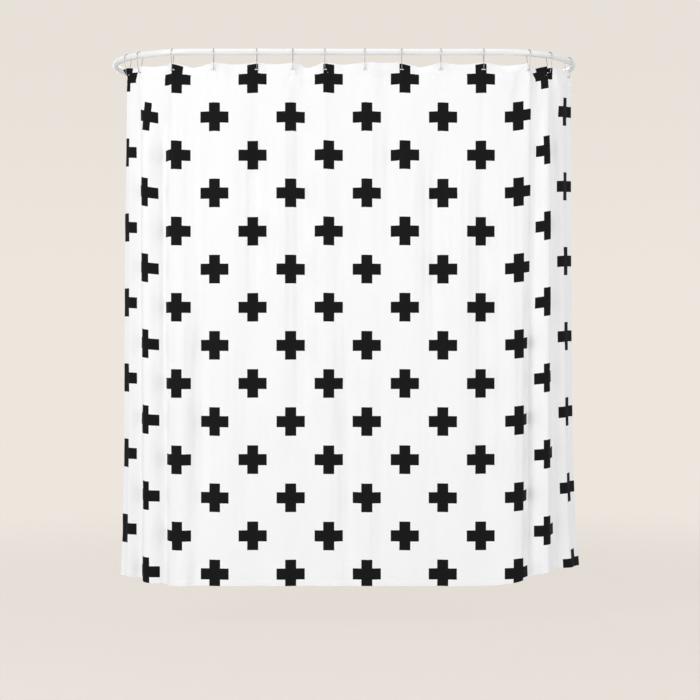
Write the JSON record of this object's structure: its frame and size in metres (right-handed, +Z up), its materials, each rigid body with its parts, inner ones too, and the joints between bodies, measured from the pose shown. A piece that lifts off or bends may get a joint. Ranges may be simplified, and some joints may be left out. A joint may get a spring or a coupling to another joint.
{
  "type": "shower curtain",
  "caption": "White cloth shower curtain printed with black plus shapes, hung from wire hooks on an oval shower rail with wall brackets.",
  "frame": {"origin": "middle of the line between the two wall flanges, on the wall plane, at the height of the rail's centre line", "axes": "+Z up, +Y into the wall, so the curtain's face looks along -Y; +X to the right of a person who looks at the curtain from the room"},
  "size_m": [1.702, 0.7898, 1.9065],
  "materials": {
    "rail_paint": "gloss",
    "fixing_steel": "satin",
    "hook_wire": "polished",
    "curtain_cloth": "woven polyester, white with a black print",
    "hem_cloth": "woven polyester, white"
  },
  "bodies": {
    "rail": {"front_rail": "rail_paint", "back_rail": "rail_paint", "rail_clamp_left": "rail_paint", "wall_arm_left": "rail_paint", "wall_flange_left": "rail_paint", "rail_clamp_right": "rail_paint", "wall_arm_right": "rail_paint", "wall_flange_right": "rail_paint", "spigot_left": "fixing_steel", "joint_screw_left_front": "fixing_steel", "joint_screw_left_back": "fixing_steel", "clamp_screw_left_rail": "fixing_steel", "clamp_screw_left_arm": "fixing_steel", "flange_screw_left": "fixing_steel", "wall_screw_left_1": "fixing_steel", "wall_screw_left_2": "fixing_steel", "wall_screw_left_3": "fixing_steel", "spigot_right": "fixing_steel", "joint_screw_right_front": "fixing_steel", "joint_screw_right_back": "fixing_steel", "clamp_screw_right_rail": "fixing_steel", "clamp_screw_right_arm": "fixing_steel", "flange_screw_right": "fixing_steel", "wall_screw_right_1": "fixing_steel", "wall_screw_right_2": "fixing_steel", "wall_screw_right_3": "fixing_steel", "curtain_panel": "curtain_cloth", "header_facing": "hem_cloth", "bottom_hem": "hem_cloth", "side_hem_left": "hem_cloth", "side_hem_right": "hem_cloth"},
    "hook_01": {"hook_01": "hook_wire"},
    "hook_02": {"hook_02": "hook_wire"},
    "hook_03": {"hook_03": "hook_wire"},
    "hook_04": {"hook_04": "hook_wire"},
    "hook_05": {"hook_05": "hook_wire"},
    "hook_06": {"hook_06": "hook_wire"},
    "hook_07": {"hook_07": "hook_wire"},
    "hook_08": {"hook_08": "hook_wire"},
    "hook_09": {"hook_09": "hook_wire"},
    "hook_10": {"hook_10": "hook_wire"},
    "hook_11": {"hook_11": "hook_wire"},
    "hook_12": {"hook_12": "hook_wire"},
    "hook_13": {"hook_13": "hook_wire"},
    "hook_14": {"hook_14": "hook_wire"}
  },
  "joints": [
    {"name": "draw_left", "type": "hinge", "parent": "rail", "child": "hook_01", "pos_m": [-0.53, -0.43, 0], "axis": [0, 0, -1], "range_deg": [-26, 4], "deforming": ["curtain_panel", "header_facing", "bottom_hem", "side_hem_left", "side_hem_right"]},
    {"name": "hook_02_draw", "type": "hinge", "parent": "rail", "child": "hook_02", "pos_m": [-0.53, -0.43, 0], "axis": [0, 0, -1], "range_deg": [-22.15, 3.45]},
    {"name": "hook_03_draw", "type": "hinge", "parent": "rail", "child": "hook_03", "pos_m": [-0.53, -0.43, 0], "axis": [0, 0, -1], "range_deg": [-4.16, 0.68]},
    {"name": "hook_04_slide", "type": "slide", "parent": "rail", "child": "hook_04", "axis": [1, 0, 0], "range_m": [-0.005, 0.005]},
    {"name": "hook_05_slide", "type": "slide", "parent": "rail", "child": "hook_05", "axis": [1, 0, 0], "range_m": [-0.005, 0.005]},
    {"name": "hook_06_slide", "type": "slide", "parent": "rail", "child": "hook_06", "axis": [1, 0, 0], "range_m": [-0.005, 0.005]},
    {"name": "hook_07_slide", "type": "slide", "parent": "rail", "child": "hook_07", "axis": [1, 0, 0], "range_m": [-0.005, 0.005]},
    {"name": "hook_08_slide", "type": "slide", "parent": "rail", "child": "hook_08", "axis": [1, 0, 0], "range_m": [-0.005, 0.005]},
    {"name": "hook_09_slide", "type": "slide", "parent": "rail", "child": "hook_09", "axis": [1, 0, 0], "range_m": [-0.005, 0.005]},
    {"name": "hook_10_slide", "type": "slide", "parent": "rail", "child": "hook_10", "axis": [1, 0, 0], "range_m": [-0.005, 0.005]},
    {"name": "hook_11_slide", "type": "slide", "parent": "rail", "child": "hook_11", "axis": [1, 0, 0], "range_m": [-0.005, 0.005]},
    {"name": "hook_12_draw", "type": "hinge", "parent": "rail", "child": "hook_12", "pos_m": [0.53, -0.43, 0], "axis": [0, 0, 1], "range_deg": [-8.91, 1.16]},
    {"name": "hook_13_draw", "type": "hinge", "parent": "rail", "child": "hook_13", "pos_m": [0.53, -0.43, 0], "axis": [0, 0, 1], "range_deg": [-21.92, 2.78]},
    {"name": "draw_right", "type": "hinge", "parent": "rail", "child": "hook_14", "pos_m": [0.53, -0.43, 0], "axis": [0, 0, 1], "range_deg": [-32, 4], "deforming": ["curtain_panel", "header_facing", "bottom_hem", "side_hem_left", "side_hem_right"]}
  ],
  "couplings": [
    {"joint": "hook_02_draw", "follows": "draw_left", "ratio": 0.8501},
    {"joint": "hook_03_draw", "follows": "draw_left", "ratio": 0.1582},
    {"joint": "hook_13_draw", "follows": "draw_right", "ratio": 0.6833},
    {"joint": "hook_12_draw", "follows": "draw_right", "ratio": 0.277}
  ]
}
